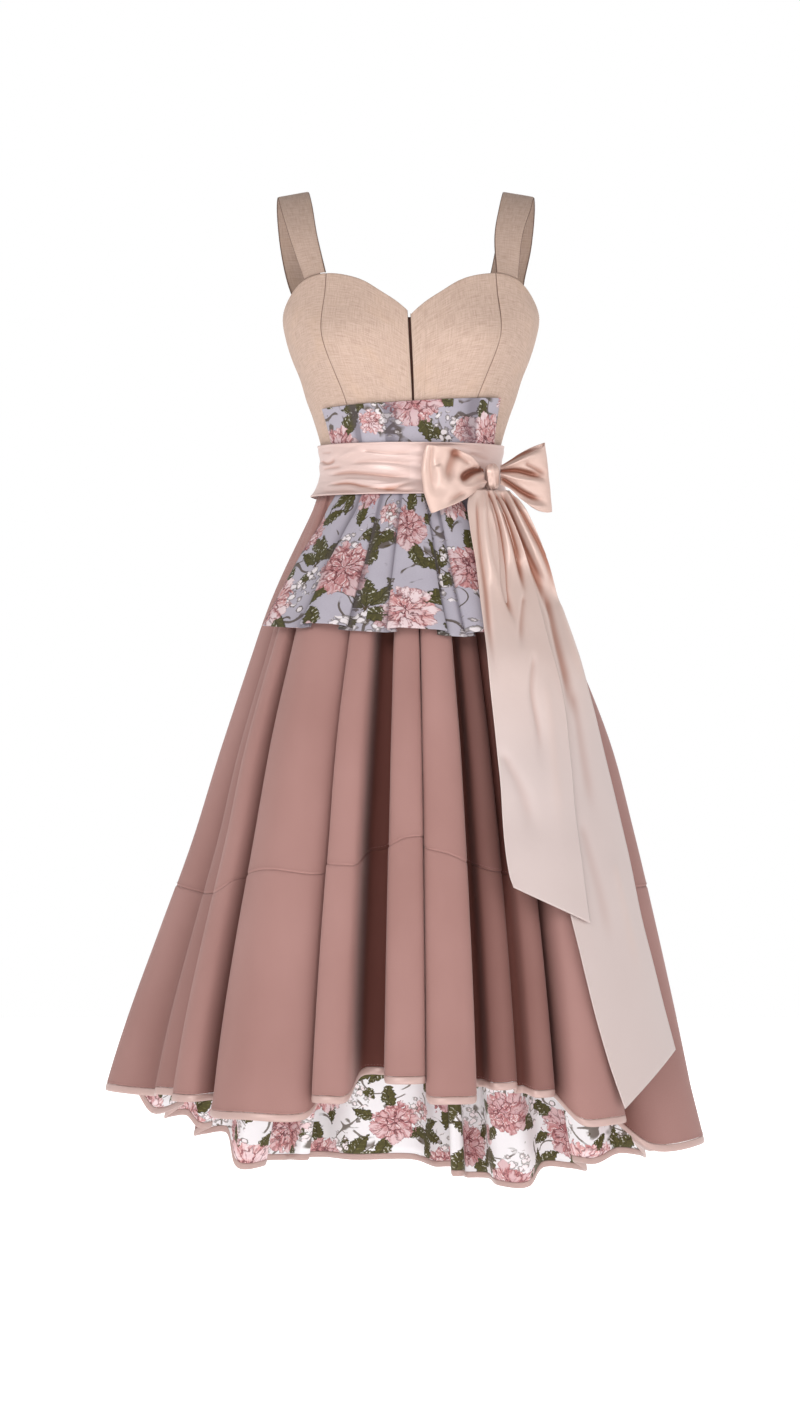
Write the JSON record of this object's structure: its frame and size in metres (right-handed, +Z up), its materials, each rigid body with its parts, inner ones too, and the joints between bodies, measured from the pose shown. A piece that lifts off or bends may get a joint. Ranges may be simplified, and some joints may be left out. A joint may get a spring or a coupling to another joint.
{
  "type": "dirndl dress",
  "caption": "Worn hollow dirndl dress: sweetheart linen bodice on two straps, pleated floral peplum under a bowed satin sash, and a full fluted hi-lo skirt with a lined, bound flounce",
  "frame": {"origin": "Midway between the tops of the two shoulder straps, on their undersides, where the wearer's shoulders carry the dress", "axes": "+Z is up, -Y is the dress's front and +X is the wearer's left"},
  "size_m": [0.7527, 0.7771, 1.3159],
  "materials": {
    "linen": "slubby plain-weave linen, matt",
    "placket": "dark twill tape, matt",
    "jacquard": "jacquard weave with peonies and leaves on a lavender-grey ground",
    "satin": "blush satin, soft sheen",
    "twill": "dusty-rose cotton twill, matt with a faint nap",
    "lining": "floral jacquard on a white-lavender ground",
    "binding": "champagne satin bias binding"
  },
  "bodies": {
    "root": {"bodice_front_right": "linen", "bodice_front_left": "linen", "bodice_side_front_right": "linen", "bodice_side_front_left": "linen", "bodice_side_back_right": "linen", "bodice_side_back_left": "linen", "bodice_back": "linen", "strap_right": "linen", "strap_left": "linen", "front_placket": "placket", "peplum_upper": "jacquard", "peplum_lower": "jacquard", "sash_band": "satin", "bow_knot": "satin", "bow_loop_right": "satin", "bow_loop_left": "satin", "sash_tail_short": "satin", "sash_tail_long": "satin", "skirt_front": "twill", "skirt_back": "twill", "flounce_front": "twill", "flounce_back": "twill", "lining_front": "lining", "lining_back": "lining", "hem_binding_front": "binding", "hem_binding_back": "binding"}
  },
  "joints": []
}
